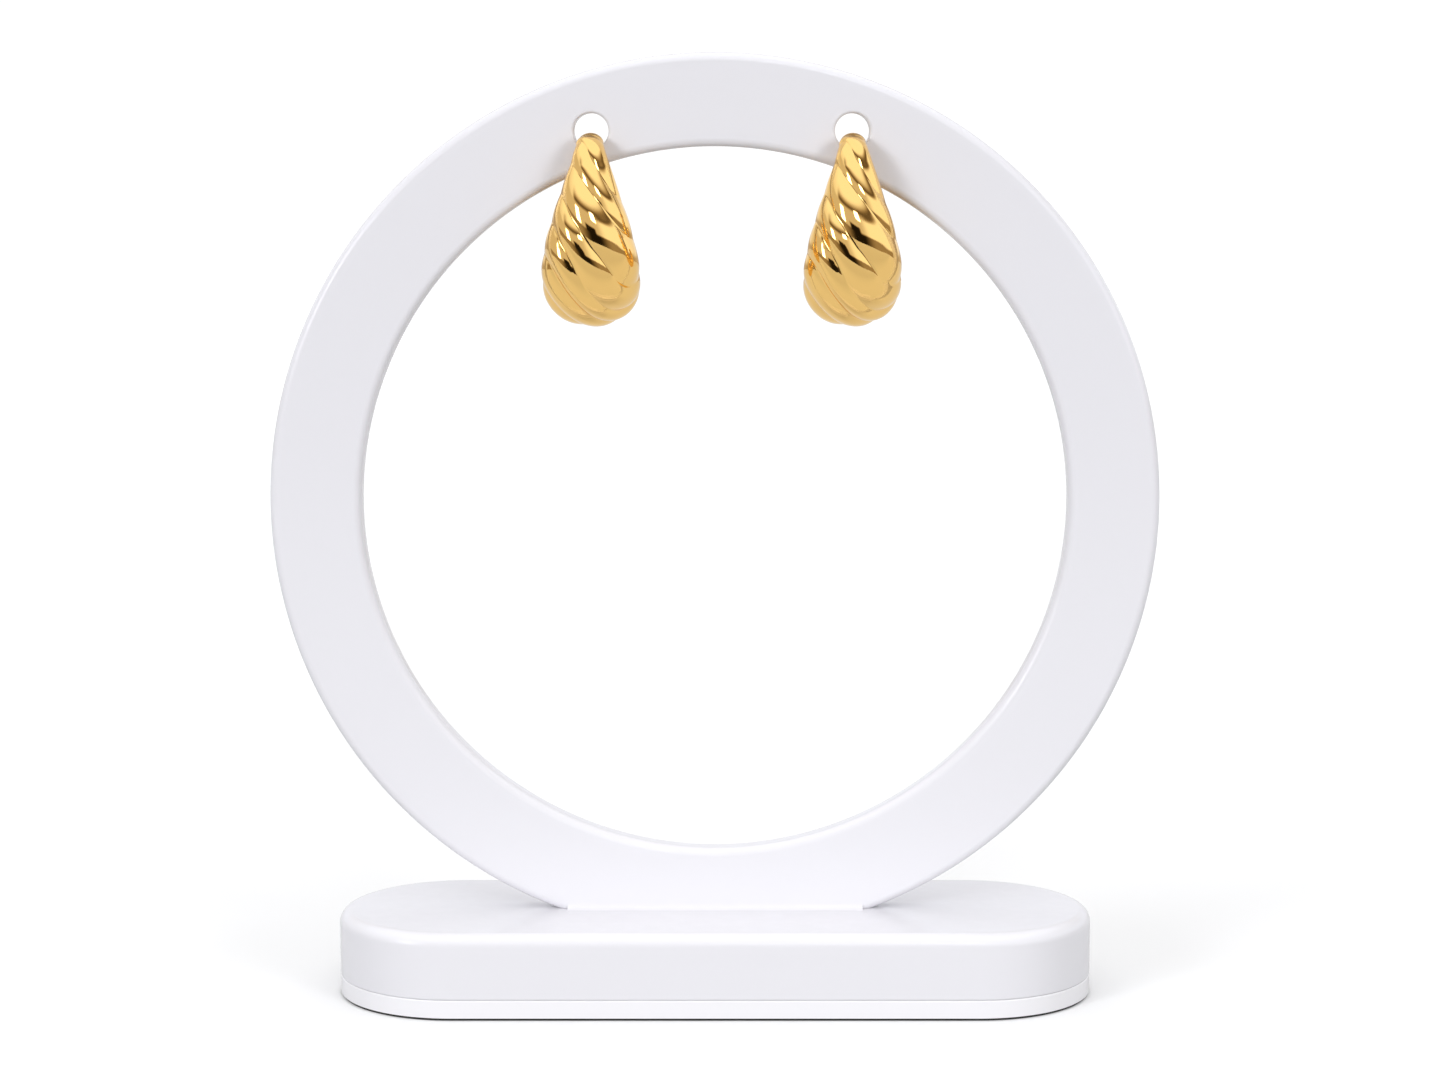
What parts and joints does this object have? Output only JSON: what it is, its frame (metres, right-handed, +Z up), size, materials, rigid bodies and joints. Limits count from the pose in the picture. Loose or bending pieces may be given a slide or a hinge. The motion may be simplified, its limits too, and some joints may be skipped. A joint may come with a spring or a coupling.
{
  "type": "hoop earrings on a display stand",
  "caption": "Pair of teardrop hoop earrings with slanted ribs, hanging by their posts in a round ring plate that stands on a flat base with round ends.",
  "frame": {"origin": "middle of the base's underside, on the surface that the stand rests on", "axes": "+Z up; -Y towards the front, where the hoops' tips hang; +X to the right seen from the front, along the base and across the ring"},
  "size_m": [0.1386, 0.038, 0.1474],
  "materials": {
    "gold": "mirror-polished gold-tone plating",
    "stand": "smooth glossy white",
    "pad": "matt dark"
  },
  "bodies": {
    "root": {"foot_pad": "pad", "base_plate": "stand", "stand_base": "stand", "stand_ring": "stand", "hoop_left": "gold", "hoop_right": "gold", "ear_back_left": "gold", "ear_back_right": "gold"}
  },
  "joints": []
}
